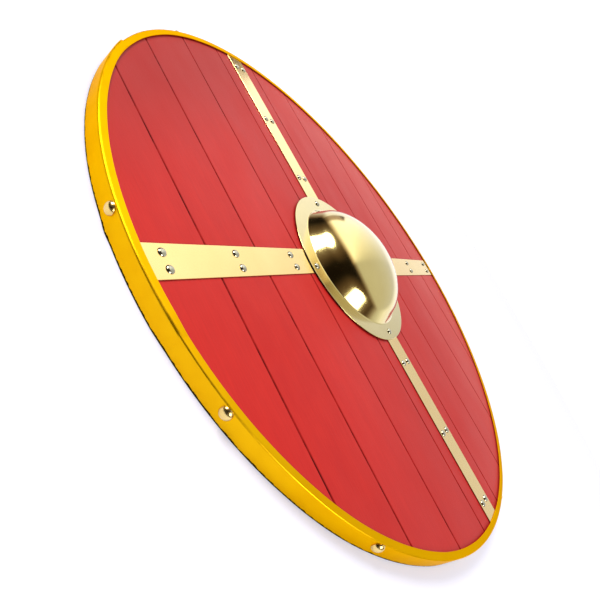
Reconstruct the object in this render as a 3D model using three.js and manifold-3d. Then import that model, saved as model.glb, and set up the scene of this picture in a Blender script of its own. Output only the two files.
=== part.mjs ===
import * as THREE from 'three';
import { mergeVertices } from 'three/addons/utils/BufferGeometryUtils.js';
import Module from 'manifold-3d';

// A round wooden shield in the viking style, lying on its back. +Z points out of its painted face,
// +Y runs along the planks, and the origin is the middle of the rim's rear edge. Millimetres.

const wasm = await Module();
wasm.setup();

// Rim hoop: one strip of sheet bent to an L, with its ends lapped
const shieldDiameter = 610;
const rimDepth = 17;
const rimSheet = 0.8;
const lipWidth = 6.4;
const rimCornerRadius = 1.8;
const lapStartAngle = 134;
const lapEndAngle = 190;
const lapSpringAngle = 12;
const lapSpringOut = 0.7;
const lapFuse = 0.05;

// Board: one wooden disc, its face scored into planks
const boardThickness = 10;
const boardEdgeGap = 0.8;
const grooveShares = [-0.767, -0.561, -0.33, -0.116, 0.121, 0.339, 0.575, 0.793];
const grooveWidth = 2.4;
const grooveDepth = 1.2;
const handHoleInset = 12.3;

// Straps: four sheet arms of a cross, each set on the board by hand
const strapThickness = 1;
const longStrapWidth = 26.7;
const shortStrapWidth = 27.4;
const strapFootGap = 3.2;
const strapTuck = 2.4;
const strapUnderLipGap = 0.2;
const arms = [
  { name: 'top', angle: 90, width: longStrapWidth, aside: 0, skew: 0 },
  { name: 'left', angle: 180, width: shortStrapWidth, aside: -2.6, skew: 0.3 },
  { name: 'bottom', angle: 270, width: longStrapWidth, aside: 0, skew: 0 },
  { name: 'right', angle: 0, width: shortStrapWidth, aside: -3.2, skew: -1.1 },
];

// Boss: a dome raised from one sheet, with a flat flange
const bossCentreX = -1;
const bossCentreY = -4.5;
const bossSheet = 1.2;
const domeDiameter = 140.6;
const domeHeight = 38;
const domeFullness = 1.09;
const domeFootRise = 11;
const domeFillet = 2.5;
const flangeWidth = 22.2;
const bossRivetInset = 9;

// Rivets and nails
const rivetHeadDiameter = 7;
const rivetHeadHeight = 1.9;
const rivetShankDiameter = 3;
const firstRowOut = 28;
const middleRowShare = 0.515;
const lastRowInset = 16.6;
const rivetPairSpacing = 13;
const nailHeadDiameter = 10;
const nailHeadHeight = 3.4;
const nailShankDiameter = 2.4;
const nailLength = 13;
const nailHeight = 11.6;
const nailSeatGap = 0.06;
const shankClearance = 0.2;
const lapNailAngles = [172.2, 199.3, 227.4];
const hoopNailCount = 7;
const hoopNailStart = 280;
const hoopNailEnd = 470;

// Grip: a wooden bar across the hand hole, on the back
const gripWidth = 34;
const gripEndThickness = 4;
const gripEndLength = 22;
const gripShoulder = 4;
const gripSideGap = 1.5;
const gripEdge = 1.2;

// Facets round each turned shape
const rimFacets = 96;
const bossFacets = 40;
const domeSteps = 6;
const holeFacets = 8;
const handHoleFacets = 40;

// Places worked out from the sizes
const rimRadius = shieldDiameter / 2;
const lipInnerRadius = rimRadius - lipWidth;
const boardFront = rimDepth - rimSheet - strapUnderLipGap - strapThickness;
const boardBack = boardFront - boardThickness;
const boardRadius = rimRadius - rimSheet - boardEdgeGap;
const strapTop = boardFront + strapThickness;
const flangeTop = strapTop + bossSheet;
const flangeRadius = domeDiameter / 2 + flangeWidth;
const bossRivetRadius = flangeRadius - bossRivetInset;
const handHoleRadius = domeDiameter / 2 - handHoleInset;
const strapInnerEnd = domeDiameter / 2 + domeFillet + strapFootGap;
const lastRow = lipInnerRadius - lastRowInset;
const rivetHoleRadius = rivetShankDiameter / 2 + shankClearance;
const nailHoleRadius = nailShankDiameter / 2 + shankClearance;
const gripTop = boardFront;
const gripBottom = boardBack - gripEndThickness;

const finishes = {
  board: { color: 0xc8332c, roughness: 0.55, metalness: 0 },
  rim: { color: 0xf5b820, roughness: 0.3, metalness: 1 },
  brass: { color: 0xf0dc8c, roughness: 0.2, metalness: 1 },
  rivet: { color: 0xc8c4b4, roughness: 0.25, metalness: 1 },
  grip: { color: 0xa5794c, roughness: 0.7, metalness: 0 },
};

const shield = new THREE.Group();

function addPiece(name, geometry, finish) {
  const mesh = new THREE.Mesh(geometry, new THREE.MeshStandardMaterial(finishes[finish]));
  mesh.name = name;
  shield.add(mesh);
  return mesh;
}

// A closed solid of a geometry's triangles, without the flat ones at the poles
function solidOf(geometry) {
  const bare = geometry.clone();
  bare.deleteAttribute('normal');
  bare.deleteAttribute('uv');
  const merged = mergeVertices(bare);
  const corners = [];
  for (let i = 0; i < merged.index.count; i += 3) {
    const [a, b, c] = [0, 1, 2].map((k) => merged.index.getX(i + k));
    if (a !== b && b !== c && c !== a) corners.push(a, b, c);
  }
  const vertProperties = Float32Array.from(merged.attributes.position.array);
  const triVerts = Uint32Array.from(corners);
  return new wasm.Manifold(new wasm.Mesh({ numProp: 3, vertProperties, triVerts }));
}

function geometryOf(solid) {
  const mesh = solid.getMesh();
  const geometry = new THREE.BufferGeometry();
  geometry.setAttribute('position', new THREE.BufferAttribute(mesh.vertProperties, 3));
  geometry.setIndex(new THREE.BufferAttribute(mesh.triVerts, 1));
  geometry.computeVertexNormals();
  return geometry;
}

// A profile of [radius, height] points, turned round the Z axis
function turned(profile, facets) {
  const points = profile.map(([radius, height]) => new THREE.Vector2(radius, height));
  return new THREE.LatheGeometry(points, facets).rotateX(Math.PI / 2);
}

// A round bar along Z, from one height to another
function roundBar(radius, low, high, facets) {
  const bar = new THREE.CylinderGeometry(radius, radius, high - low, facets);
  return bar.rotateX(Math.PI / 2).translate(0, 0, (low + high) / 2);
}

// Points of an arc in the profile plane, both ends included
function arc(centreRadius, centreHeight, radius, fromDegrees, toDegrees, steps) {
  const points = [];
  for (let i = 0; i <= steps; i += 1) {
    const turn = THREE.MathUtils.degToRad(fromDegrees + ((toDegrees - fromDegrees) * i) / steps);
    points.push([centreRadius + radius * Math.cos(turn), centreHeight + radius * Math.sin(turn)]);
  }
  return points;
}

// The L section of the hoop, from its inner skin to its outer skin
function hoopProfile(innerSkin, outerSkin) {
  const outerCorner = rimCornerRadius + outerSkin;
  const innerCorner = rimCornerRadius + innerSkin;
  const centreRadius = rimRadius - rimCornerRadius;
  const centreHeight = rimDepth - rimCornerRadius;
  const profile = [[rimRadius + innerSkin, 0], [rimRadius + outerSkin, 0]];
  profile.push(...arc(centreRadius, centreHeight, outerCorner, 0, 90, 2));
  profile.push([lipInnerRadius, rimDepth + outerSkin], [lipInnerRadius, rimDepth + innerSkin]);
  profile.push(...arc(centreRadius, centreHeight, innerCorner, 0, 90, 1).reverse());
  profile.push(profile[0]);
  return profile;
}

// The part of the hoop's outer layer that laps over its hidden end. It climbs over that end, and
// its own end has sprung away from the layer below.
function lapOfHoop() {
  const outerLayer = solidOf(turned(hoopProfile(-lapFuse, rimSheet), rimFacets));
  const reach = 2 * rimRadius;
  const sector = new THREE.Shape();
  sector.moveTo(0, 0);
  for (const angle of [lapStartAngle, (lapStartAngle + lapEndAngle) / 2, lapEndAngle]) {
    const turn = THREE.MathUtils.degToRad(angle);
    sector.lineTo(reach * Math.cos(turn), reach * Math.sin(turn));
  }
  const wedge = new THREE.ExtrudeGeometry(sector, { depth: 2 * rimDepth, bevelEnabled: false });
  wedge.translate(0, 0, -rimDepth / 2);
  const lap = geometryOf(outerLayer.intersect(solidOf(wedge)));
  const places = lap.attributes.position;
  const climbAngle = 360 / rimFacets;
  for (let i = 0; i < places.count; i += 1) {
    const turn = Math.atan2(places.getY(i), places.getX(i));
    const angle = THREE.MathUtils.euclideanModulo(THREE.MathUtils.radToDeg(turn), 360);
    const climb = Math.min(1, (lapEndAngle - angle) / climbAngle);
    const sink = ((1 - climb) * rimSheet) / 2;
    const springShare = Math.max(0, 1 - (angle - lapStartAngle) / lapSpringAngle);
    const radius = Math.hypot(places.getX(i), places.getY(i)) - sink + lapSpringOut * springShare ** 2;
    const height = places.getZ(i) * (1 - sink / rimDepth);
    places.setXYZ(i, radius * Math.cos(turn), radius * Math.sin(turn), height);
  }
  return solidOf(lap);
}

// Moves a thing drawn along +Z out to the rim, so that it points outwards at an angle
function radialFrame(angle, radius) {
  const turn = THREE.MathUtils.degToRad(angle);
  const outward = new THREE.Vector3(Math.cos(turn), Math.sin(turn), 0);
  const along = new THREE.Vector3(-Math.sin(turn), Math.cos(turn), 0);
  const up = new THREE.Vector3(0, 0, 1);
  const frame = new THREE.Matrix4().makeBasis(along, up, outward);
  return frame.setPosition(outward.multiplyScalar(radius).setZ(nailHeight));
}

function nailPlaces() {
  const hoopPitch = (hoopNailEnd - hoopNailStart) / (hoopNailCount - 1);
  const angles = [...lapNailAngles];
  for (let i = 0; i < hoopNailCount; i += 1) angles.push(hoopNailStart + i * hoopPitch);
  return angles.map((angle) => {
    const turned360 = THREE.MathUtils.euclideanModulo(angle, 360);
    const onLap = turned360 > lapStartAngle && turned360 < lapEndAngle;
    const seat = rimRadius + (onLap ? rimSheet : 0) + nailSeatGap;
    return { angle: turned360, seat };
  });
}

// The arm's own frame: +X runs out along it, from the middle of the shield
function armFrame(arm) {
  const turn = THREE.MathUtils.degToRad(arm.angle);
  const aside = new THREE.Vector3(-Math.sin(turn), Math.cos(turn), 0).multiplyScalar(arm.aside);
  const frame = new THREE.Matrix4().makeRotationZ(turn + THREE.MathUtils.degToRad(arm.skew));
  return frame.setPosition(aside);
}

function bossRivetPlace(arm) {
  const turn = THREE.MathUtils.degToRad(arm.angle);
  const outward = new THREE.Vector3(Math.cos(turn), Math.sin(turn), 0);
  return outward.multiplyScalar(bossRivetRadius).add(new THREE.Vector3(bossCentreX, bossCentreY, 0));
}

// How far out the rows of an arm's rivets lie: the first is set out from the boss, the last from the lip
function rivetRows(arm) {
  const turn = THREE.MathUtils.degToRad(arm.angle);
  const bossOut = bossCentreX * Math.cos(turn) + bossCentreY * Math.sin(turn);
  const firstRow = bossOut + flangeRadius + firstRowOut;
  return [firstRow, firstRow + middleRowShare * (lastRow - firstRow), lastRow];
}

// Every rivet of an arm: its name, its place in the arm's frame and how deep it goes
function strapRivets(arm) {
  const rivets = [];
  rivetRows(arm).forEach((row, rowIndex) => {
    for (const side of [-1, 1]) {
      const heldGrip = rowIndex === 0 && (arm.name === 'left' || arm.name === 'right');
      rivets.push({
        name: `strap_rivet_${arm.name}_${rowIndex + 1}${side < 0 ? 'a' : 'b'}`,
        place: new THREE.Vector3(row, (side * rivetPairSpacing) / 2, 0),
        end: heldGrip ? gripBottom : boardBack,
      });
    }
  });
  return rivets;
}

function board() {
  let solid = solidOf(roundBar(boardRadius, boardBack, boardFront, rimFacets));
  const hole = roundBar(handHoleRadius, boardBack - 1, boardFront + 1, handHoleFacets);
  solid = solid.subtract(solidOf(hole.translate(bossCentreX, bossCentreY, 0)));
  const section = new THREE.Shape();
  section.moveTo(-grooveWidth / 2, 0);
  section.lineTo(0, -grooveDepth);
  section.lineTo(grooveWidth / 2, 0);
  section.lineTo(grooveWidth / 2, grooveDepth);
  section.lineTo(-grooveWidth / 2, grooveDepth);
  const options = { depth: 2 * rimRadius, bevelEnabled: false };
  for (const share of grooveShares) {
    const groove = new THREE.ExtrudeGeometry(section, options).rotateX(Math.PI / 2);
    solid = solid.subtract(solidOf(groove.translate(share * rimRadius, rimRadius, boardFront)));
  }
  const drill = roundBar(rivetHoleRadius, boardBack - 1, boardFront + 1, holeFacets);
  for (const arm of arms) {
    const frame = armFrame(arm);
    const places = strapRivets(arm).map((rivet) => rivet.place.applyMatrix4(frame));
    for (const place of [...places, bossRivetPlace(arm)]) {
      solid = solid.subtract(solidOf(drill.clone().translate(place.x, place.y, 0)));
    }
  }
  for (const nail of nailPlaces()) {
    solid = solid.subtract(solidOf(nailBore(nail)));
  }
  return geometryOf(solid);
}

// The hole that a rim nail fills, through the hoop and into the board's edge
function nailBore(nail) {
  const bore = roundBar(nailHoleRadius, -nailLength - shankClearance, 1, holeFacets);
  return bore.applyMatrix4(radialFrame(nail.angle, nail.seat));
}

function rimHoop() {
  let solid = solidOf(turned(hoopProfile(-rimSheet, 0), rimFacets)).add(lapOfHoop());
  for (const nail of nailPlaces()) solid = solid.subtract(solidOf(nailBore(nail)));
  return geometryOf(solid);
}

function strap(arm) {
  const half = arm.width / 2;
  const outline = new THREE.Shape();
  const outerEnd = lipInnerRadius + strapTuck;
  outline.moveTo(strapInnerEnd, -half);
  outline.lineTo(outerEnd, -half);
  outline.lineTo(outerEnd, half);
  outline.lineTo(strapInnerEnd, half);
  outline.closePath();
  const toArm = armFrame(arm).invert();
  const holes = strapRivets(arm).map((rivet) => rivet.place);
  for (const place of [...holes, bossRivetPlace(arm).applyMatrix4(toArm)]) {
    const hole = new THREE.Path();
    hole.absarc(place.x, place.y, rivetHoleRadius, 0, 2 * Math.PI, true);
    outline.holes.push(hole);
  }
  const options = { depth: strapThickness, bevelEnabled: false, curveSegments: holeFacets / 2 };
  return new THREE.ExtrudeGeometry(outline, options).translate(0, 0, boardFront);
}

// One skin of the dome: its curve, from where the straight foot ends up to the crown
function domeSkin(skin) {
  const radius = domeDiameter / 2 + skin;
  const height = domeHeight + skin;
  const points = [];
  const foot = Math.asin((domeFootRise / height) ** (1 / domeFullness));
  for (let i = 0; i <= domeSteps; i += 1) {
    const rise = foot + ((Math.PI / 2 - foot) * i) / domeSteps;
    const crown = i === domeSteps;
    points.push([crown ? 0 : radius * Math.cos(rise), height * Math.sin(rise) ** domeFullness]);
  }
  return points;
}

// How far the dome's skin leans in where its straight foot begins, in degrees off upright
function footLean() {
  const sine = (domeFootRise / domeHeight) ** (1 / domeFullness);
  const inward = (domeDiameter / 2) * sine;
  const upward = domeHeight * domeFullness * sine ** (domeFullness - 1) * Math.sqrt(1 - sine ** 2);
  return THREE.MathUtils.radToDeg(Math.atan2(inward, upward));
}

function boss() {
  const outer = domeSkin(0);
  const inner = domeSkin(-bossSheet);
  const lean = footLean();
  const turn = THREE.MathUtils.degToRad(lean);
  const footOut = (domeFootRise - domeFillet) * Math.tan(turn) + domeFillet / Math.cos(turn);
  const filletCentre = outer[0][0] + footOut;
  const outerFillet = arc(filletCentre, domeFillet, domeFillet, 180 + lean, 270, 2);
  const innerFillet = arc(filletCentre, domeFillet, domeFillet + bossSheet, 180 + lean, 270, 2);
  const profile = [...inner.reverse(), ...innerFillet];
  profile.push([flangeRadius, -bossSheet], [flangeRadius, 0]);
  profile.push(...outerFillet.reverse(), ...outer);
  let solid = solidOf(turned(profile, bossFacets).translate(bossCentreX, bossCentreY, flangeTop));
  for (const arm of arms) {
    const place = bossRivetPlace(arm);
    const drill = roundBar(rivetHoleRadius, strapTop - 1, flangeTop + 1, holeFacets);
    solid = solid.subtract(solidOf(drill.translate(place.x, place.y, 0)));
  }
  return geometryOf(solid);
}

// A fastener with a low domed head, its head seated at height 0 and its shank below
function domedFastener(headDiameter, headHeight, shankDiameter, length) {
  const headRadius = headDiameter / 2;
  const shankRadius = shankDiameter / 2;
  const profile = [[0, -length], [shankRadius, -length], [shankRadius, 0], [headRadius, 0]];
  profile.push([0.8 * headRadius, 0.58 * headHeight], [0, headHeight]);
  return geometryOf(solidOf(turned(profile, holeFacets)));
}

// The grip's bar, drawn along +X: thin ends against the board and a thick middle in the hole
function grip(leftPair, rightPair) {
  const across = rightPair.clone().sub(leftPair);
  const endX = across.length() / 2 + gripEndLength;
  const footX = Math.sqrt(handHoleRadius ** 2 - (gripWidth / 2) ** 2) - gripShoulder - gripSideGap;
  const side = new THREE.Shape();
  side.moveTo(-endX, gripBottom);
  side.lineTo(endX, gripBottom);
  side.lineTo(endX, boardBack);
  side.lineTo(footX, boardBack);
  side.lineTo(footX - gripShoulder, gripTop);
  side.lineTo(-footX + gripShoulder, gripTop);
  side.lineTo(-footX, boardBack);
  side.lineTo(-endX, boardBack);
  side.closePath();
  const options = {
    depth: gripWidth - 2 * gripEdge,
    bevelEnabled: true,
    bevelSize: gripEdge,
    bevelThickness: gripEdge,
    bevelOffset: -gripEdge,
    bevelSegments: 1,
  };
  const bar = new THREE.ExtrudeGeometry(side, options);
  bar.rotateX(Math.PI / 2).translate(0, gripWidth / 2 - gripEdge, 0);
  bar.rotateZ(Math.atan2(across.y, across.x));
  const middle = leftPair.clone().add(rightPair).multiplyScalar(0.5);
  let solid = solidOf(bar.translate(middle.x, middle.y, 0));
  const drill = roundBar(rivetHoleRadius, gripBottom - 1, boardBack + 1, holeFacets);
  for (const arm of arms.filter((one) => one.name === 'left' || one.name === 'right')) {
    for (const rivet of strapRivets(arm).slice(0, 2)) {
      const place = rivet.place.applyMatrix4(armFrame(arm));
      solid = solid.subtract(solidOf(drill.clone().translate(place.x, place.y, 0)));
    }
  }
  return geometryOf(solid);
}

addPiece('board', board(), 'board');
addPiece('rim_hoop', rimHoop(), 'rim');
addPiece('boss', boss(), 'brass');

for (const arm of arms) {
  const frame = armFrame(arm);
  const bar = addPiece(`strap_${arm.name}`, strap(arm), 'brass');
  bar.position.setFromMatrixPosition(frame);
  bar.rotation.setFromRotationMatrix(frame);
  for (const rivet of strapRivets(arm)) {
    const length = strapTop - rivet.end;
    const fastener = domedFastener(rivetHeadDiameter, rivetHeadHeight, rivetShankDiameter, length);
    const place = rivet.place.applyMatrix4(frame);
    addPiece(rivet.name, fastener, 'rivet').position.set(place.x, place.y, strapTop);
  }
  const bossRivet = domedFastener(
    rivetHeadDiameter, rivetHeadHeight, rivetShankDiameter, flangeTop - boardBack);
  const place = bossRivetPlace(arm);
  addPiece(`boss_rivet_${arm.name}`, bossRivet, 'rivet').position.set(place.x, place.y, flangeTop);
}

nailPlaces().forEach((nail, i) => {
  const shape = domedFastener(nailHeadDiameter, nailHeadHeight, nailShankDiameter, nailLength);
  const frame = radialFrame(nail.angle, nail.seat);
  const mesh = addPiece(`rim_nail_${String(i + 1).padStart(2, '0')}`, shape, 'brass');
  mesh.position.setFromMatrixPosition(frame);
  mesh.rotation.setFromRotationMatrix(frame);
});

const pairOf = (name) => {
  const arm = arms.find((one) => one.name === name);
  return new THREE.Vector3(rivetRows(arm)[0], 0, 0).applyMatrix4(armFrame(arm));
};
addPiece('grip', grip(pairOf('left'), pairOf('right')), 'grip');

export default shield;
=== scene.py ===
import math

import bmesh
import bpy
from mathutils import Matrix, Vector, noise


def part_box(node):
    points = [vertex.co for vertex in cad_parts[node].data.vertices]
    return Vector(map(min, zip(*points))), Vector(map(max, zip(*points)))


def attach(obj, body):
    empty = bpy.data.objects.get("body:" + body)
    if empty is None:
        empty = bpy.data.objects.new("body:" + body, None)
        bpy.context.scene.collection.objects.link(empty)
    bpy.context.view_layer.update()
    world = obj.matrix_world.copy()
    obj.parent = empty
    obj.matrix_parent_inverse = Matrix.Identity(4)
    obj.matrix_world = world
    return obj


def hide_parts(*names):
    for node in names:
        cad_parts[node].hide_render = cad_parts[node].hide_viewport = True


# The looks of a round viking shield that lies on its back: a red board scored into planks, a
# gold-lacquered rim, a polished brass boss and a riveted brass cross. The board's CAD node keeps
# its mesh, and every metal piece and the grip get a finer one here.

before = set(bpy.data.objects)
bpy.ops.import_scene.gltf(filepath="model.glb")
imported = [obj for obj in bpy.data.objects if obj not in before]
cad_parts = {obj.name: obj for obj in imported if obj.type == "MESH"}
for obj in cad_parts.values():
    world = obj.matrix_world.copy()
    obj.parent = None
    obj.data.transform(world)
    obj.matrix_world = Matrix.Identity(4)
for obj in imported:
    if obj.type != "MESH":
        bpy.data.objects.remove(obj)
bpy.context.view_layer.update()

MM = 0.001
ARMS = ("top", "left", "bottom", "right")


# Places and sizes read from the CAD solids, in metres


def centre(node):
    low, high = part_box(node)
    return (low + high) / 2


def pair_middle(arm, row):
    """The place midway between the two rivets of a row, at height 0."""
    middle = (centre(f"strap_rivet_{arm}_{row}a") + centre(f"strap_rivet_{arm}_{row}b")) / 2
    return Vector((middle.x, middle.y, 0))


BOARD_BACK, BOARD_FRONT = (corner.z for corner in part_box("board"))
STRAP_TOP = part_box("strap_top")[1].z
BOSS_LOW, BOSS_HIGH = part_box("boss")
BOSS_CENTRE = (BOSS_LOW + BOSS_HIGH) / 2

# Sizes that the solids share but their boxes don't give, with angles in degrees
RIM_RADIUS = 305 * MM
RIM_DEPTH = 17 * MM
RIM_SHEET = 0.8 * MM
LIP_WIDTH = 6.4 * MM
LAP_OPEN_END = 134
LAP_SUNK_END = 190
LAP_SPRING_OUT = 0.7 * MM
LAP_SPRING_ANGLE = 12
LAP_FUSE = 0.05 * MM
DOME_RADIUS = 70.3 * MM
DOME_HEIGHT = 38 * MM
DOME_FULLNESS = 1.09
DOME_FOOT_RISE = 11 * MM
BOSS_SHEET = 1.2 * MM
RIVET_HEAD_HEIGHT = 1.9 * MM
RIVET_SHANK = 1.5 * MM
NAIL_HEAD = 5 * MM
NAIL_HEAD_HEIGHT = 3.4 * MM
NAIL_SHANK = 1.2 * MM
NAIL_LENGTH = 13 * MM
NAIL_SEAT_GAP = 0.06 * MM
STRAP_WIDTHS = {"top": 26.7 * MM, "bottom": 26.7 * MM, "left": 27.4 * MM, "right": 27.4 * MM}
GROOVE_DEPTH = 1.2 * MM
GROOVE_SHARES = [-0.767, -0.561, -0.33, -0.116, 0.121, 0.339, 0.575, 0.793]
HAND_HOLE_RADIUS = 58 * MM
GRIP_WIDTH = 34 * MM
GRIP_END_LENGTH = 22 * MM
GRIP_SHOULDER = 4 * MM
GRIP_SIDE_GAP = 1.5 * MM
GRIP_EDGE = 1.2 * MM

# Finer forms that only the looks have, with angles in degrees. The rim's corner and the dome's
# fillet are a little tighter than in the solids. Spots say how finely a form varies: so many to
# the metre, or for the rim to its radius
RIM_CORNER = 1.3 * MM
DOME_FILLET = 2 * MM
LAP_CLIMB_ANGLE = 3
LAP_SINK = 0.95 * RIM_SHEET
FLANGE_EDGE = 0.45 * BOSS_SHEET
FLAT_MARGIN = 0.3 * MM
STRAP_EASE = 0.3 * MM
STRAP_CUTS = 24
STRAP_LIFT = 0.12 * MM
STRAP_LIFT_SPOTS = 18
DOME_UNEVENNESS = 0.22 * MM
DOME_SPOTS = 26
HEAD_STEPS = 10
HEAD_FULLNESS = 1.1
HEAD_EDGE_HEIGHT = 0.1
HEAD_FOOT_WIDTH = 0.96
RIVET_LEAN = 2.5
RIM_BEND = 0.25 * MM
RIM_BEND_SPOTS = 5
RIM_DENT = 0.12 * MM
RIM_DENT_SPOTS = 14
REAR_EASE = 0.7 * MM
LIP_EASE = 0.25 * MM
KNOCK_ANGLE = 174
KNOCK_SPREAD = 1.4
KNOCK_OUT = 0.9 * MM
KNOCK_HEIGHT = 5 * MM


# Material helpers


def linear(hex_colour):
    """A linear RGBA colour from an sRGB hex value."""
    channels = [int(hex_colour[i:i + 2], 16) / 255 for i in (1, 3, 5)]
    return [c / 12.92 if c <= 0.04045 else ((c + 0.055) / 1.055) ** 2.4 for c in channels] + [1.0]


def add_node(tree, kind, inputs=None, settings=None):
    """A node with its settings. An input takes a value, a hex colour or another node's socket."""
    node = tree.nodes.new(kind)
    for name, value in (settings or {}).items():
        setattr(node, name, value)
    for name, value in (inputs or {}).items():
        if isinstance(value, bpy.types.NodeSocket):
            tree.links.new(value, node.inputs[name])
        else:
            node.inputs[name].default_value = linear(value) if isinstance(value, str) else value
    return node


def new_material(name):
    """An empty material, its shader and its Object coordinates."""
    material = bpy.data.materials.new(name)
    material.use_nodes = True
    tree = material.node_tree
    place = add_node(tree, "ShaderNodeTexCoord").outputs["Object"]
    return material, tree, tree.nodes["Principled BSDF"], place


def blots(tree, place, grain, low=0.3, high=0.7, least=0.0, most=1.0, detail=2.0, rough=0.5):
    """A cloudy pattern with blots as large as the grain, in metres, drawn between two values."""
    scale = {"Vector": place, "Scale": [1 / size for size in grain]}
    sized = add_node(tree, "ShaderNodeMapping", scale).outputs["Vector"]
    pattern = {"Vector": sized, "Scale": 1.0, "Detail": detail, "Roughness": rough}
    cloud = add_node(tree, "ShaderNodeTexNoise", pattern).outputs["Fac"]
    span = {"Value": cloud, "From Min": low, "From Max": high, "To Min": least, "To Max": most}
    return add_node(tree, "ShaderNodeMapRange", span).outputs["Result"]


def finish_shader(tree, shader, sockets):
    """Links each of the shader's inputs to what drives it."""
    for name, source in sockets.items():
        tree.links.new(source, shader.inputs[name])


# The red that each plank of the face took, from one side of the board to the other
PLANK_REDS = [
    "#C3221B", "#C0211A", "#C52620", "#C2231D", "#C42520",
    "#C52722", "#C1231F", "#C22522", "#BF2321"]


# Satin red paint brushed on a wooden board. It hides the wood's colour but not all of its grain,
# it shines softly, and the scored lines between the planks have kept dirt and bare dark wood.
# The back has none of it: there the wood is bare.


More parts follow.
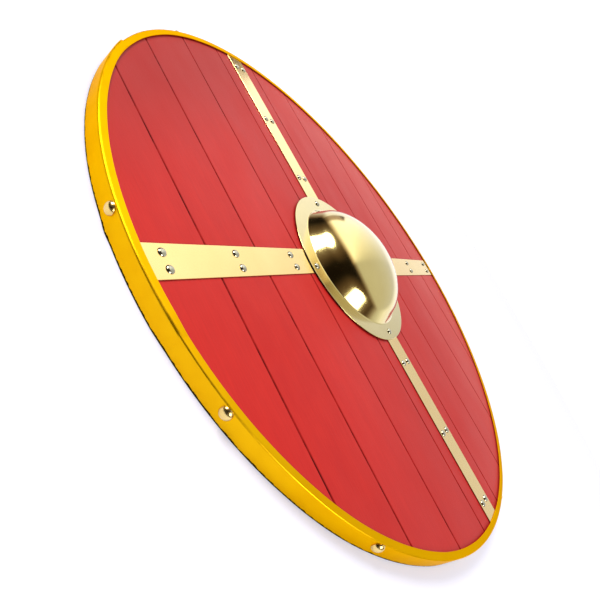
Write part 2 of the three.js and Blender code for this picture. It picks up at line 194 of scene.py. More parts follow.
def painted_board_material():
    material, tree, shader, place = new_material("satin_red_paint_on_scored_board")
    shader.inputs["Specular IOR Level"].default_value = 0.13
    axes = add_node(tree, "ShaderNodeSeparateXYZ", {"Vector": place}).outputs
    front = add_node(tree, "ShaderNodeMapRange", {
        "Value": axes["Z"],
        "From Min": BOARD_FRONT - 2 * GROOVE_DEPTH,
        "From Max": BOARD_FRONT - 1.9 * GROOVE_DEPTH,
    }).outputs["Result"]

    # Each plank took the paint a little differently
    across = add_node(tree, "ShaderNodeMapRange", {
        "Value": axes["X"],
        "From Min": -RIM_RADIUS,
        "From Max": RIM_RADIUS,
    }).outputs["Result"]
    planks = add_node(tree, "ShaderNodeValToRGB", {"Fac": across})
    reds = planks.color_ramp
    reds.interpolation = "CONSTANT"
    reds.elements[0].color = linear(PLANK_REDS[0])
    reds.elements[1].position = (GROOVE_SHARES[0] + 1) / 2
    reds.elements[1].color = linear(PLANK_REDS[1])
    for groove, red in zip(GROOVE_SHARES[1:], PLANK_REDS[2:]):
        reds.elements.new((groove + 1) / 2).color = linear(red)

    # Painted shade and sheen: the paint is drawn brightest near one side and darker away from it,
    # darker still at the upper end, and paler at the far side as a painted sheen
    from_lit_spot = add_node(
        tree, "ShaderNodeVectorMath", {0: place, 1: (-210 * MM, -20 * MM, 0.0)},
        {"operation": "DISTANCE"})
    painted_shade_falloff = add_node(tree, "ShaderNodeMapRange", {
        "Value": from_lit_spot.outputs["Value"],
        "From Min": 120 * MM,
        "From Max": 235 * MM,
        "To Max": 0.24,
    })
    towards_end = add_node(
        tree, "ShaderNodeVectorMath", {0: place, 1: (-0.5, 0.87, 0.0)},
        {"operation": "DOT_PRODUCT"})
    painted_shade_at_end = add_node(tree, "ShaderNodeMapRange", {
        "Value": towards_end.outputs["Value"],
        "From Min": 185 * MM,
        "From Max": 255 * MM,
        "To Max": 0.40,
    })
    painted_sheen_far_side = add_node(tree, "ShaderNodeMapRange", {
        "Value": from_lit_spot.outputs["Value"],
        "From Min": 330 * MM,
        "From Max": 500 * MM,
        "To Max": 0.34,
    })
    thin_coat = blots(tree, place, (30 * MM, 60 * MM, 30 * MM), 0.35, 0.7, 0.0, 0.55, 4.0, 0.6)
    mottle = blots(tree, place, (11 * MM, 26 * MM, 11 * MM), 0.35, 0.7, 0.0, 0.2, 3.0, 0.6)
    fibres = blots(tree, place, (0.9 * MM, 38 * MM, 6 * MM), 0.3, 0.75, 0.0, 1.0, 4.0, 0.6)
    streaks = add_node(tree, "ShaderNodeMath", {0: fibres, 1: 0.22}, {"operation": "MULTIPLY"})
    paint = add_node(
        tree, "ShaderNodeMix", {0: thin_coat, 6: planks.outputs["Color"], 7: "#C92A23"},
        {"data_type": "RGBA"})
    # The first two mixes below are painted shade and the last is a painted sheen; the mottle and streaks
    # are the paint's own
    shades = (
        (painted_shade_falloff.outputs["Result"], "#92201E"),
        (painted_shade_at_end.outputs["Result"], "#8A201E"),
        (mottle, "#A8181E"),
        (streaks.outputs[0], "#961616"),
        (painted_sheen_far_side.outputs["Result"], "#E2645C"))
    for share, red in shades:
        paint = add_node(
            tree, "ShaderNodeMix", {0: share, 6: paint.outputs[2], 7: red},
            {"data_type": "RGBA"})

    # The brush half filled the scored lines, so their dark comes and goes
    depth = add_node(tree, "ShaderNodeMapRange", {
        "Value": axes["Z"],
        "From Min": BOARD_FRONT - 0.04 * MM,
        "From Max": BOARD_FRONT - 0.5 * GROOVE_DEPTH,
    }).outputs["Result"]
    filled = blots(tree, place, (14 * MM, 30 * MM, 14 * MM), 0.38, 0.60, 0.28, 1.0, 4.0, 0.7)
    line = add_node(tree, "ShaderNodeMath", {0: depth, 1: filled}, {"operation": "MULTIPLY"})
    paint = add_node(
        tree, "ShaderNodeMix", {0: line.outputs[0], 6: paint.outputs[2], 7: "#4A0D0D"},
        {"data_type": "RGBA"})

    # The bare wood behind: pale growth bands with darker pores, and paint on the front alone
    rings = blots(tree, place, (7 * MM, 240 * MM, 30 * MM), 0.35, 0.65, 0.0, 1.0, 3.0, 0.6)
    wood = add_node(
        tree, "ShaderNodeMix", {0: rings, 6: "#D2AE78", 7: "#B4864E"}, {"data_type": "RGBA"})
    pores = add_node(tree, "ShaderNodeMath", {0: fibres, 1: 0.5}, {"operation": "MULTIPLY"})
    wood = add_node(
        tree, "ShaderNodeMix", {0: pores.outputs[0], 6: wood.outputs[2], 7: "#93683A"},
        {"data_type": "RGBA"})
    face = add_node(
        tree, "ShaderNodeMix", {0: front, 6: wood.outputs[2], 7: paint.outputs[2]},
        {"data_type": "RGBA"})

    # The paint levels most of the grain, and it has brush marks and an uneven film of its own
    levelled = add_node(
        tree, "ShaderNodeMapRange", {"Value": front, "To Min": 1.0, "To Max": 0.4})
    relief = add_node(
        tree, "ShaderNodeMath", {0: fibres, 1: levelled.outputs["Result"]},
        {"operation": "MULTIPLY"})
    film = blots(tree, place, (1.6 * MM, 2.6 * MM, 1.6 * MM))
    cupping = blots(tree, place, (60 * MM, 140 * MM, 60 * MM), 0.0, 1.0, 0.0, 1.0, 1.0)
    grain_bump = add_node(
        tree, "ShaderNodeBump", {"Height": relief.outputs[0], "Distance": 0.07 * MM})
    film_bump = add_node(tree, "ShaderNodeBump", {
        "Height": film,
        "Distance": 0.015 * MM,
        "Normal": grain_bump.outputs["Normal"],
    })
    board_bump = add_node(tree, "ShaderNodeBump", {
        "Height": cupping,
        "Distance": 0.9 * MM,
        "Normal": film_bump.outputs["Normal"],
    })

    # The paint is satin, duller in the scored lines, and bare wood is dull
    sheen = blots(tree, place, (45 * MM, 80 * MM, 45 * MM), 0.3, 0.75, 0.40, 0.50, 3.0)
    dull_wood = add_node(
        tree, "ShaderNodeMapRange", {"Value": front, "To Min": 0.32, "To Max": 0.0})
    dull_line = add_node(tree, "ShaderNodeMath", {0: depth, 1: 0.45}, {"operation": "MULTIPLY"})
    rough = add_node(
        tree, "ShaderNodeMath", {0: sheen, 1: dull_wood.outputs["Result"]}, {"operation": "ADD"})
    rough = add_node(
        tree, "ShaderNodeMath", {0: rough.outputs[0], 1: dull_line.outputs[0]},
        {"operation": "ADD"})
    finish_shader(tree, shader, {
        "Base Color": face.outputs[2],
        "Roughness": rough.outputs[0],
        "Normal": board_bump.outputs["Normal"],
    })
    return material


# Metals share one build: a polished or rolled sheet whose tone drifts a little with age and
# handling, with fine scratches that spread its highlights. The scratches are drawn about twice
# as coarse as real ones, which are too fine to show here. Drift and scratch are sizes along X, Y
# and Z, and waviness is how far the sheet strays from flat. A sheet can have painted shade along
# its lower edge, where it meets what it rests on: it is dark from its underside, at edge_base, up
# to about the height given.


def sheet_metal(name, colour, aged_colour, roughness, drift, scratch, waviness, lacquer=0.0,
                edge_shade_height=0.0, edge_base=0.0, tint="#FFFFFF"):
    material, tree, shader, place = new_material(name)
    shader.inputs["Metallic"].default_value = 1.0
    shader.inputs["Coat Weight"].default_value = lacquer
    shader.inputs["Coat Roughness"].default_value = 0.12
    shader.inputs["Specular Tint"].default_value = linear(tint)
    ageing = blots(tree, place, drift, 0.35, 0.72, 0.0, 0.5, 3.0, 0.55)
    tone = add_node(
        tree, "ShaderNodeMix", {0: ageing, 6: colour, 7: aged_colour}, {"data_type": "RGBA"})
    handled = (14 * MM, 14 * MM, 14 * MM)
    rough = blots(tree, place, handled, 0.3, 0.75, roughness * 0.85, roughness * 1.2, 4.0, 0.6)
    scratches = blots(tree, place, scratch, 0.0, 1.0)
    sheet = blots(tree, place, (38 * MM, 38 * MM, 38 * MM), 0.0, 1.0, 0.0, 1.0, 1.0)
    scratch_bump = add_node(tree, "ShaderNodeBump", {"Height": scratches, "Distance": 0.004 * MM})
    sheet_bump = add_node(tree, "ShaderNodeBump", {
        "Height": sheet,
        "Distance": waviness,
        "Normal": scratch_bump.outputs["Normal"],
    })
    if edge_shade_height:
        # Painted shade: the lower edge is drawn dark where it meets what it rests on
        axes = add_node(tree, "ShaderNodeSeparateXYZ", {"Vector": place}).outputs
        ragged = blots(tree, place, (5 * MM, 5 * MM, 50 * MM), 0.3, 0.7, 0.6, 1.2, 3.0)
        rise = add_node(
            tree, "ShaderNodeMath", {0: ragged, 1: edge_shade_height}, {"operation": "MULTIPLY"})
        above = add_node(
            tree, "ShaderNodeMath", {0: axes["Z"], 1: rise.outputs[0]}, {"operation": "SUBTRACT"})
        bright = add_node(tree, "ShaderNodeMapRange", {
            "Value": above.outputs[0],
            "From Min": edge_base - 0.05 * MM,
            "From Max": edge_base + 0.15 * MM,
        })
        tone = add_node(tree, "ShaderNodeMix", {
            0: bright.outputs["Result"],
            6: "#1C130A",
            7: tone.outputs[2],
        }, {"data_type": "RGBA"})
    finish_shader(tree, shader, {
        "Base Color": tone.outputs[2],
        "Roughness": rough,
        "Normal": sheet_bump.outputs["Normal"],
    })
    return material


# Planed beech of the grip: warm, dull and close-grained, its figure and pores along the bar


def bare_wood_material():
    material, tree, shader, place = new_material("bare_planed_beech")
    figure = blots(tree, place, (180 * MM, 5 * MM, 5 * MM), 0.35, 0.68, 0.0, 1.0, 3.0, 0.6)
    pores = blots(tree, place, (7 * MM, 0.5 * MM, 0.5 * MM), 0.45, 0.75, 0.0, 0.55, 3.0, 0.6)
    wood = add_node(
        tree, "ShaderNodeMix", {0: figure, 6: "#BE9262", 7: "#9C6C40"}, {"data_type": "RGBA"})
    wood = add_node(
        tree, "ShaderNodeMix", {0: pores, 6: wood.outputs[2], 7: "#70482A"}, {"data_type": "RGBA"})
    rough = add_node(
        tree, "ShaderNodeMapRange", {"Value": figure, "To Min": 0.55, "To Max": 0.7})
    grain_bump = add_node(tree, "ShaderNodeBump", {"Height": pores, "Distance": 0.06 * MM})
    finish_shader(tree, shader, {
        "Base Color": wood.outputs[2],
        "Roughness": rough.outputs["Result"],
        "Normal": grain_bump.outputs["Normal"],
    })
    return material


PAINTED_BOARD = painted_board_material()
BARE_WOOD = bare_wood_material()

# Gold-lacquered steel strip: a deep yellow satin lacquer over bright metal
RIM_GOLD = sheet_metal(
    "gold_lacquered_steel_strip", "#F0B90E", "#E6A808", 0.40,
    (30 * MM, 30 * MM, 30 * MM), (3 * MM, 3 * MM, 0.4 * MM), 0.25 * MM,
    edge_shade_height=1.8 * MM, tint="#FFE09A")
# Polished brass boss under clear lacquer: a golden mirror, paler where the eye meets it aslant
BOSS_BRASS = sheet_metal(
    "lacquered_polished_brass_boss", "#DECB80", "#D2BA6C", 0.13,
    (40 * MM, 40 * MM, 40 * MM), (0.6 * MM, 0.6 * MM, 0.6 * MM), 0.12 * MM, lacquer=1.0,
    edge_shade_height=0.7 * MM, edge_base=BOSS_LOW.z)
# Rolled brass strip: bright, flatter in colour and a little duller than the boss
STRAP_BRASS = sheet_metal(
    "rolled_brass_strip", "#FADA90", "#F0CB7C", 0.16,
    (50 * MM, 50 * MM, 50 * MM), (2 * MM, 2 * MM, 1 * MM), 0.10 * MM, lacquer=0.3,
    edge_shade_height=0.55 * MM, edge_base=BOARD_FRONT)
# Nickel-plated brass rivets: a greenish silver, dulled by the hammer
RIVET_METAL = sheet_metal(
    "nickel_plated_brass_rivet", "#BCBAA4", "#98947C", 0.2,
    (6 * MM, 6 * MM, 6 * MM), (0.5 * MM, 0.5 * MM, 0.5 * MM), 0.03 * MM)
# Brass upholstery nails: polished, warmer than the rivets
NAIL_BRASS = sheet_metal(
    "polished_brass_nail", "#EFD387", "#D9B258", 0.24,
    (6 * MM, 6 * MM, 6 * MM), (0.5 * MM, 0.5 * MM, 0.5 * MM), 0.03 * MM)


# Mesh helpers


def finish_piece(name, mesh_maker, material, nodes, smooth_angle=35):
    """A bmesh made an object of the shield, standing for its CAD nodes."""
    bmesh.ops.remove_doubles(mesh_maker, verts=mesh_maker.verts, dist=0.001 * MM)
    bmesh.ops.recalc_face_normals(mesh_maker, faces=mesh_maker.faces)
    mesh = bpy.data.meshes.new(name)
    mesh_maker.to_mesh(mesh)
    mesh_maker.free()
    mesh.shade_smooth()
    mesh.set_sharp_from_angle(angle=math.radians(smooth_angle))
    mesh.materials.append(material)
    piece = bpy.data.objects.new(name, mesh)
    bpy.context.scene.collection.objects.link(piece)
    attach(piece, "root")
    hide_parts(*nodes)
    return piece


def outline_of(mesh_maker, points, closed=True):
    """A line through (radius, height) points in the XZ plane, for a spin round Z."""
    verts = [mesh_maker.verts.new((x, 0, z)) for x, z in points]
    pairs = list(zip(verts, verts[1:]))
    if closed:
        pairs.append((verts[-1], verts[0]))
    return verts + [mesh_maker.edges.new(pair) for pair in pairs]


def spin_round(mesh_maker, geometry, degrees=360, steps=64):
    return bmesh.ops.spin(
        mesh_maker, geom=geometry, cent=(0, 0, 0), axis=(0, 0, 1), dvec=(0, 0, 0),
        angle=math.radians(degrees), steps=steps, use_merge=degrees == 360, use_duplicate=False)


def arc(middle, radius, start, end, steps):
    """Points of an arc in the profile plane, both ends included."""
    angles = [math.radians(start + (end - start) * i / steps) for i in range(steps + 1)]
    return [(middle[0] + radius * math.cos(a), middle[1] + radius * math.sin(a)) for a in angles]


# Boss: a dome raised from one sheet, with a flat flange whose cut edge is slightly rounded


def dome_skin(inset):
    """The dome's profile from its straight foot to its crown, for one skin of the sheet."""
    radius = DOME_RADIUS - inset
    height = DOME_HEIGHT - inset
    foot = math.asin((DOME_FOOT_RISE / height) ** (1 / DOME_FULLNESS))
    steps = 28
    points = []
    for i in range(steps + 1):
        rise = foot + (math.pi / 2 - foot) * i / steps
        points.append((radius * math.cos(rise), height * math.sin(rise) ** DOME_FULLNESS))
    points[-1] = (0.0, height)
    return points


def make_boss():
    outer = dome_skin(0)
    inner = dome_skin(BOSS_SHEET)
    flange = (BOSS_HIGH.x - BOSS_LOW.x) / 2
    # Below the dome's curve the sheet runs straight into a tight fillet. The flange's flat faces
    # have a ring of points near each edge, so that they shine as flats
    lean = math.atan2(outer[0][0] - outer[1][0], outer[1][1] - outer[0][1])
    out = (DOME_FOOT_RISE - DOME_FILLET) * math.tan(lean) + DOME_FILLET / math.cos(lean)
    fillet = (outer[0][0] + out, DOME_FILLET)
    start = 180 + math.degrees(lean)
    near = fillet[0] + FLAT_MARGIN
    rounding = flange - FLANGE_EDGE
    far = rounding - FLAT_MARGIN
    points = list(reversed(inner))
    points += arc(fillet, DOME_FILLET + BOSS_SHEET, start, 270, 8)
    points += [(near, -BOSS_SHEET), (far, -BOSS_SHEET)]
    points += arc((rounding, FLANGE_EDGE - BOSS_SHEET), FLANGE_EDGE, -90, 0, 4)
    points += arc((rounding, -FLANGE_EDGE), FLANGE_EDGE, 0, 90, 4)
    points += [(far, 0.0), (near, 0.0)]
    points += list(reversed(arc(fillet, DOME_FILLET, start, 270, 8)))
    points += outer
    maker = bmesh.new()
    spin_round(maker, outline_of(maker, points, closed=False), steps=144)
    base = BOSS_LOW.z + BOSS_SHEET
    bmesh.ops.translate(maker, verts=maker.verts, vec=(BOSS_CENTRE.x, BOSS_CENTRE.y, base))
    # The sheet was raised by hand, so the dome isn't quite true
    for vert in maker.verts:
        off = noise.noise(vert.co * DOME_SPOTS)
        height_share = (vert.co.z - base) / DOME_HEIGHT
        vert.co.z += DOME_UNEVENNESS * off * max(0.0, min(1.0, 3 * height_share))
    finish_piece("boss", maker, BOSS_BRASS, ["boss"])


# Straps: strips with eased edges, tucked under the flange and the lip


def make_strap(arm):
    first_pair = pair_middle(arm, 1)
    along = (pair_middle(arm, 3) - first_pair).normalized()
    low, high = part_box(f"strap_{arm}")
    axis = 0 if abs(along.x) > abs(along.y) else 1
    reaches = sorted((low[axis], high[axis]), key=abs)
    start, end = (first_pair + along * ((r - first_pair[axis]) / along[axis]) for r in reaches)
    length = (end - start).length
    thickness = STRAP_TOP - BOARD_FRONT
    maker = bmesh.new()
    bmesh.ops.create_cube(maker, size=1.0)
    bmesh.ops.scale(maker, verts=maker.verts, vec=(length, STRAP_WIDTHS[arm], thickness))
    level_edges = [e for e in maker.edges if abs(e.verts[0].co.z - e.verts[1].co.z) < 0.01 * MM]
    bmesh.ops.bevel(
        maker, geom=level_edges, offset=STRAP_EASE, segments=3, profile=0.5, affect="EDGES", material=-1)
    for i in range(1, STRAP_CUTS):
        place = (-length / 2 + length * i / STRAP_CUTS, 0, 0)
        bmesh.ops.bisect_plane(
            maker, geom=maker.verts[:] + maker.edges[:] + maker.faces[:],
            plane_co=place, plane_no=(1, 0, 0))
    turn = Matrix.Rotation(math.atan2(along.y, along.x), 4, "Z")
    middle = (start + end) / 2
    bmesh.ops.transform(maker, matrix=turn, verts=maker.verts)
    height = BOARD_FRONT + thickness / 2
    bmesh.ops.translate(maker, verts=maker.verts, vec=(middle.x, middle.y, height))
    # Between its rivets the strip stands a hair off the board
    for vert in maker.verts:
        spot = Vector((vert.co.x * STRAP_LIFT_SPOTS, vert.co.y * STRAP_LIFT_SPOTS, 3.7))
        lift = noise.noise(spot)
        vert.co.z += STRAP_LIFT * lift
    name = f"strap_{arm}"
    finish_piece(name, maker, STRAP_BRASS, [name], smooth_angle=12)


# Fasteners: a low domed head on a shank


def make_fastener(head_radius, head_height, shank_radius, length):
    """A fastener that points up, its head seated at height 0."""
    points = [(0.0, head_height)]
    for step in range(1, HEAD_STEPS):
        turn = math.radians(90 * step / HEAD_STEPS)
        rise = math.cos(turn) ** HEAD_FULLNESS
        points.append((head_radius * math.sin(turn), head_height * rise))
    points.append((head_radius, head_height * HEAD_EDGE_HEIGHT))
    points.append((head_radius * HEAD_FOOT_WIDTH, 0.0))
    points += [(shank_radius, 0.0), (shank_radius, -length), (0.0, -length)]
    maker = bmesh.new()
    spin_round(maker, outline_of(maker, points, closed=False), steps=28)
    return maker


def make_rivet(node):
    low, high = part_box(node)
    middle = (low + high) / 2
    seat = high.z - RIVET_HEAD_HEIGHT
    maker = make_fastener((high.x - low.x) / 2, RIVET_HEAD_HEIGHT, RIVET_SHANK, seat - low.z)
    # The hammer left each head a little lopsided
    lean = Matrix.Rotation(math.radians(RIVET_LEAN * noise.noise(middle * 90)), 4, "X")
    lean @= Matrix.Rotation(math.radians(RIVET_LEAN * noise.noise(middle * 70)), 4, "Y")
    heads = [v for v in maker.verts if v.co.z > 0.05 * RIVET_HEAD_HEIGHT]
    bmesh.ops.transform(maker, matrix=lean, verts=heads)
    bmesh.ops.translate(maker, verts=maker.verts, vec=(middle.x, middle.y, seat))
    finish_piece(node, maker, RIVET_METAL, [node])


def make_nail(node):
    middle = centre(node)
    angle = math.atan2(middle.y, middle.x)
    on_lap = LAP_OPEN_END < math.degrees(angle) % 360 < LAP_SUNK_END
    seat = RIM_RADIUS + NAIL_SEAT_GAP + (RIM_SHEET if on_lap else 0.0)
    maker = make_fastener(NAIL_HEAD, NAIL_HEAD_HEIGHT, NAIL_SHANK, NAIL_LENGTH)
    outward = Matrix.Rotation(angle, 4, "Z") @ Matrix.Rotation(math.radians(90), 4, "Y")
    bmesh.ops.transform(maker, matrix=outward, verts=maker.verts)
    place = (math.cos(angle) * seat, math.sin(angle) * seat, middle.z)
    bmesh.ops.translate(maker, verts=maker.verts, vec=place)
    finish_piece(node, maker, NAIL_BRASS, [node])


# Rim hoop: strip bent to an L over the board's edge, its outer layer lapped over the hidden end


def strip_profile(inner_skin, outer_skin):
    """The strip's section between two skins, given as distances out from the hoop's outer face.
    Points near the ends of each flat keep it shining as a flat."""
    corner = (RIM_RADIUS - RIM_CORNER, RIM_DEPTH - RIM_CORNER)
    lip = RIM_RADIUS - LIP_WIDTH
    outside = RIM_RADIUS + outer_skin
    top = RIM_DEPTH + outer_skin
    points = [(RIM_RADIUS + inner_skin, 0.0)]
    points += arc((outside - REAR_EASE, REAR_EASE), REAR_EASE, -90, 0, 3)
    points += [(outside, REAR_EASE + FLAT_MARGIN), (outside, corner[1] - FLAT_MARGIN)]
    points += arc(corner, RIM_CORNER + outer_skin, 0, 90, 8)
    points += [(corner[0] - FLAT_MARGIN, top), (lip + LIP_EASE + FLAT_MARGIN, top)]
    points += [(lip + LIP_EASE, top), (lip, top - LIP_EASE), (lip, RIM_DEPTH + inner_skin)]
    points += list(reversed(arc(corner, RIM_CORNER + inner_skin, 0, 90, 5)))
    return points


def hand_bent(co):
    """How far a hand-bent strip strays from a true circle, in metres."""
    angle = math.atan2(co.y, co.x)
    bend = Vector((math.cos(angle) * RIM_BEND_SPOTS, math.sin(angle) * RIM_BEND_SPOTS, 0.4))
    dent = Vector((math.cos(angle) * RIM_DENT_SPOTS, math.sin(angle) * RIM_DENT_SPOTS, 2.4))
    stray = RIM_BEND * noise.noise(bend) + RIM_DENT * noise.noise(dent)
    # A knock has turned the rear edge out at one place
    from_knock = (math.degrees(angle) % 360 - KNOCK_ANGLE) / KNOCK_SPREAD
    return stray + KNOCK_OUT * math.exp(-from_knock ** 2) * max(0.0, 1 - co.z / KNOCK_HEIGHT)


def make_rim():
    maker = bmesh.new()
    spin_round(maker, outline_of(maker, strip_profile(-RIM_SHEET, 0)), steps=360)
    inner_count = len(maker.verts)
    section = outline_of(maker, strip_profile(-LAP_FUSE, RIM_SHEET))
    corners = [v for v in section if isinstance(v, bmesh.types.BMVert)]
    cap = maker.faces.new(corners)
    turn = Matrix.Rotation(math.radians(LAP_OPEN_END), 4, "Z")
    bmesh.ops.transform(maker, matrix=turn, verts=corners)
    spin_round(maker, [cap], degrees=LAP_SUNK_END - LAP_OPEN_END, steps=112)
    # The lap springs off at its open end, and at the other it sinks into the layer below
    maker.verts.ensure_lookup_table()
    for vert in maker.verts[inner_count:]:
        angle = math.degrees(math.atan2(vert.co.y, vert.co.x)) % 360
        radius = math.hypot(vert.co.x, vert.co.y)
        spring = max(0.0, 1 - (angle - LAP_OPEN_END) / LAP_SPRING_ANGLE) ** 2
        climb = min(1.0, (LAP_SUNK_END - angle) / LAP_CLIMB_ANGLE)
        sink = (1 - climb) * LAP_SINK
        moved = radius + LAP_SPRING_OUT * spring - sink * (radius > RIM_RADIUS - RIM_CORNER)
        vert.co.x *= moved / radius
        vert.co.y *= moved / radius
        vert.co.z *= 1 - sink / RIM_DEPTH
    for vert in maker.verts:
        stray = hand_bent(vert.co)
        radius = math.hypot(vert.co.x, vert.co.y)
        vert.co.x *= 1 + stray / radius
        vert.co.y *= 1 + stray / radius
    finish_piece("rim_hoop", maker, RIM_GOLD, ["rim_hoop"])


# Grip: a planed bar, its thick middle in the hand hole and its thin ends on the board's back


def make_grip():
    left = pair_middle("left", 1)
    right = pair_middle("right", 1)
    along = right - left
    end = along.length / 2 + GRIP_END_LENGTH
    half_width = GRIP_WIDTH / 2
    inside = math.sqrt(HAND_HOLE_RADIUS ** 2 - half_width ** 2)
    foot = inside - GRIP_SHOULDER - GRIP_SIDE_GAP
    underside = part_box("grip")[0].z
    outline = [
        (-end, underside), (end, underside), (end, BOARD_BACK), (foot, BOARD_BACK),
        (foot - GRIP_SHOULDER, BOARD_FRONT), (-foot + GRIP_SHOULDER, BOARD_FRONT),
        (-foot, BOARD_BACK), (-end, BOARD_BACK)]
    maker = bmesh.new()
    side = maker.faces.new([maker.verts.new((x, -half_width, z)) for x, z in outline])
    grown = bmesh.ops.extrude_face_region(maker, geom=[side])["geom"]
    far_side = [g for g in grown if isinstance(g, bmesh.types.BMVert)]
    bmesh.ops.translate(maker, verts=far_side, vec=(0, 2 * half_width, 0))
    bmesh.ops.bevel(
        maker, geom=maker.edges[:], offset=GRIP_EDGE, segments=4, profile=0.5, affect="EDGES",
        material=-1)
    turn = Matrix.Rotation(math.atan2(along.y, along.x), 4, "Z")
    middle = (left + right) / 2
    bmesh.ops.transform(maker, matrix=turn, verts=maker.verts)
    bmesh.ops.translate(maker, verts=maker.verts, vec=(middle.x, middle.y, 0))
    finish_piece("grip", maker, BARE_WOOD, ["grip"])


make_boss()
make_rim()
make_grip()
for arm_name in ARMS:
    make_strap(arm_name)
    for row_and_side in ("1a", "1b", "2a", "2b", "3a", "3b"):
        make_rivet(f"strap_rivet_{arm_name}_{row_and_side}")
    make_rivet(f"boss_rivet_{arm_name}")
for nail_number in range(1, 11):
    make_nail(f"rim_nail_{nail_number:02d}")

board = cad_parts["board"]
board.data.materials.clear()
board.data.materials.append(PAINTED_BOARD)


# Studio: a pale matte floor, a white wall of light behind the shield and two round soft lights


FLOOR_RADIUS = 0.95

# The two round lights: azimuth and elevation in degrees, distance and radius in metres, watts
UPPER_LIGHT = (112, 41, 3.0, 0.68, 78)
LOWER_LIGHT = (-110, 32, 3.0, 0.82, 44)


def make_floor():
    maker = bmesh.new()
    bmesh.ops.create_circle(maker, cap_ends=True, radius=FLOOR_RADIUS, segments=96)
    mesh = bpy.data.meshes.new("studio_floor")
    maker.to_mesh(mesh)
    maker.free()
    floor = bpy.data.objects.new("studio_floor", mesh)
    bpy.context.scene.collection.objects.link(floor)
    # Opal acrylic of a light table: matte, pale and aglow, so that shadows on it stay faint
    material, tree, shader, place = new_material("opal_acrylic_light_table")
    shader.inputs["Roughness"].default_value = 0.9
    shader.inputs["Specular IOR Level"].default_value = 0.1
    shader.inputs["Emission Color"].default_value = linear("#ECEFFF")
    shader.inputs["Emission Strength"].default_value = 0.44
    sheet = blots(tree, place, (400 * MM, 400 * MM, 400 * MM))
    white = add_node(
        tree, "ShaderNodeMix", {0: sheet, 6: "#CCCDD9", 7: "#CACBD8"}, {"data_type": "RGBA"})
    finish_shader(tree, shader, {"Base Color": white.outputs[2]})
    mesh.materials.append(material)


def direction(azimuth, elevation):
    """The unit vector that points to an azimuth and elevation in degrees."""
    turn = math.radians(azimuth)
    rise = math.radians(elevation)
    return Vector((math.cos(rise) * math.cos(turn), math.cos(rise) * math.sin(turn), math.sin(rise)))


def make_round_light(name, azimuth, elevation, distance, radius, power):
    light = bpy.data.lights.new(name, "AREA")
    light.shape = "DISK"
    light.size = 2 * radius
    light.energy = power
    lamp = bpy.data.objects.new(name, light)
    way = direction(azimuth, elevation)
    lamp.location = way * distance
    lamp.rotation_euler = way.to_track_quat("Z", "Y").to_euler()
    bpy.context.scene.collection.objects.link(lamp)


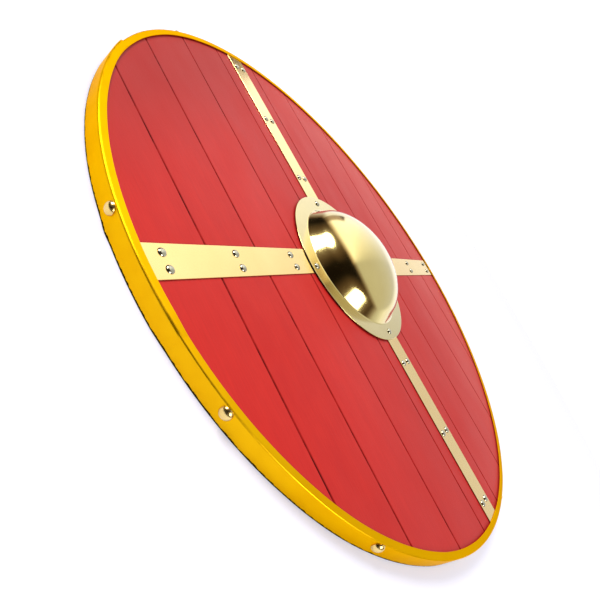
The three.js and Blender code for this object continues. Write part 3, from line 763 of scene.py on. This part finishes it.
def make_world():
    """A white wall of light behind the shield, brighter to one side, in a dim warm room."""
    world = bpy.data.worlds.new("studio_light")
    bpy.context.scene.world = world
    world.use_nodes = True
    tree = world.node_tree
    way = add_node(tree, "ShaderNodeTexCoord").outputs["Generated"]
    axes = add_node(tree, "ShaderNodeSeparateXYZ", {"Vector": way}).outputs

    # The wall's light: even below, and above it grows from one side to the other
    azimuth = add_node(
        tree, "ShaderNodeMath", {0: axes["Y"], 1: axes["X"]}, {"operation": "ARCTAN2"})
    aside = add_node(tree, "ShaderNodeMapRange", {
        "Value": azimuth.outputs[0],
        "From Min": 0.05,
        "From Max": 0.80,
        "To Min": 0.76,
        "To Max": 1.85,
    })
    above = add_node(tree, "ShaderNodeMapRange", {
        "Value": axes["Z"],
        "From Min": 0.17,
        "From Max": 0.30,
    })
    wall = add_node(
        tree, "ShaderNodeMix", {0: above.outputs["Result"], 2: 1.2, 3: aside.outputs["Result"]},
        {"data_type": "FLOAT"})

    # The wall ends at one side on a slant, and towards the upper light it runs behind a dark flat,
    # which further round only dims it
    leaning = add_node(tree, "ShaderNodeVectorMath", {0: way, 1: (1.0, 0.0, 0.6)}, {
        "operation": "DOT_PRODUCT"})
    edge = add_node(
        tree, "ShaderNodeMapRange",
        {"Value": leaning.outputs["Value"], "From Min": 0.53, "From Max": 0.72})
    slope = add_node(tree, "ShaderNodeVectorMath", {0: way, 1: (-0.6, 1.0, -0.51)}, {
        "operation": "DOT_PRODUCT"})
    flat = add_node(tree, "ShaderNodeMapRange", {
        "Value": slope.outputs["Value"],
        "From Min": -0.035,
        "From Max": -0.02,
    })
    under_flat = add_node(
        tree, "ShaderNodeMapRange", {"Value": axes["Z"], "From Min": 0.2, "From Max": 0.24})
    over_flat = add_node(tree, "ShaderNodeMapRange", {
        "Value": axes["Z"],
        "From Min": 0.40,
        "From Max": 0.46,
        "To Min": 1.0,
        "To Max": 0.0,
    })
    past_flat = add_node(tree, "ShaderNodeMapRange", {
        "Value": azimuth.outputs[0],
        "From Min": 0.69,
        "From Max": 0.72,
        "To Min": 1.0,
        "To Max": 0.62,
    })
    hidden = flat.outputs["Result"]
    for limit in (under_flat, over_flat, past_flat):
        hidden = add_node(
            tree, "ShaderNodeMath", {0: hidden, 1: limit.outputs["Result"]},
            {"operation": "MULTIPLY"}).outputs[0]
    shown = add_node(tree, "ShaderNodeMath", {0: 1.0, 1: hidden}, {"operation": "SUBTRACT"})
    share = add_node(
        tree, "ShaderNodeMath", {0: edge.outputs["Result"], 1: shown.outputs[0]},
        {"operation": "MULTIPLY"})

    # The room around the two lights catches a little of their light
    halos = []
    for round_light in (UPPER_LIGHT, LOWER_LIGHT):
        near = add_node(
            tree, "ShaderNodeVectorMath", {0: way, 1: direction(*round_light[:2])},
            {"operation": "DOT_PRODUCT"})
        halos.append(add_node(tree, "ShaderNodeMapRange", {
            "Value": near.outputs["Value"],
            "From Min": 0.74,
            "From Max": 1.0,
            "To Max": 0.22,
        }, {"interpolation_type": "SMOOTHSTEP"}).outputs["Result"])
    glow = add_node(tree, "ShaderNodeMath", {0: halos[0], 1: halos[1]}, {"operation": "ADD"})
    room = add_node(tree, "ShaderNodeMath", {0: glow.outputs[0], 1: 0.012}, {"operation": "ADD"})
    light = add_node(
        tree, "ShaderNodeMix", {0: share.outputs[0], 2: room.outputs[0], 3: wall.outputs[0]},
        {"data_type": "FLOAT"})
    colour = add_node(
        tree, "ShaderNodeMix", {0: share.outputs[0], 6: "#E0B088", 7: "#FFFFFF"},
        {"data_type": "RGBA"})
    # What the eye sees past the floor is plain white
    seen = add_node(tree, "ShaderNodeLightPath").outputs["Is Camera Ray"]
    colour = add_node(
        tree, "ShaderNodeMix", {0: seen, 6: colour.outputs[2], 7: "#FFFFFF"}, {"data_type": "RGBA"})
    light = add_node(
        tree, "ShaderNodeMix", {0: seen, 2: light.outputs[0], 3: 1.05}, {"data_type": "FLOAT"})
    shader = tree.nodes["Background"]
    tree.links.new(colour.outputs[2], shader.inputs["Color"])
    tree.links.new(light.outputs[0], shader.inputs["Strength"])


make_floor()
make_world()
make_round_light("round_light_upper", *UPPER_LIGHT)
make_round_light("round_light_lower", *LOWER_LIGHT)


# Camera: close to the shield and low over it, turned far on its side as the photo is


CAMERA_PLACE = Vector((-517.89, -123.89, 213.05)) * MM
CAMERA_FORWARD = Vector((0.86522, 0.20131, -0.45921))
CAMERA_UP = Vector((0.06312, 0.86484, 0.49806))


def make_camera():
    data = bpy.data.cameras.new("camera")
    data.sensor_width = 36.0
    data.lens = 30.178
    data.clip_start = 0.01
    forward = CAMERA_FORWARD.normalized()
    right = forward.cross(CAMERA_UP).normalized()
    above = right.cross(forward).normalized()
    turn = Matrix((right, above, -forward)).transposed().to_4x4()
    camera = bpy.data.objects.new("camera", data)
    camera.matrix_world = Matrix.Translation(CAMERA_PLACE) @ turn
    bpy.context.scene.collection.objects.link(camera)
    bpy.context.scene.camera = camera


make_camera()
bpy.context.scene.view_settings.view_transform = "Standard"
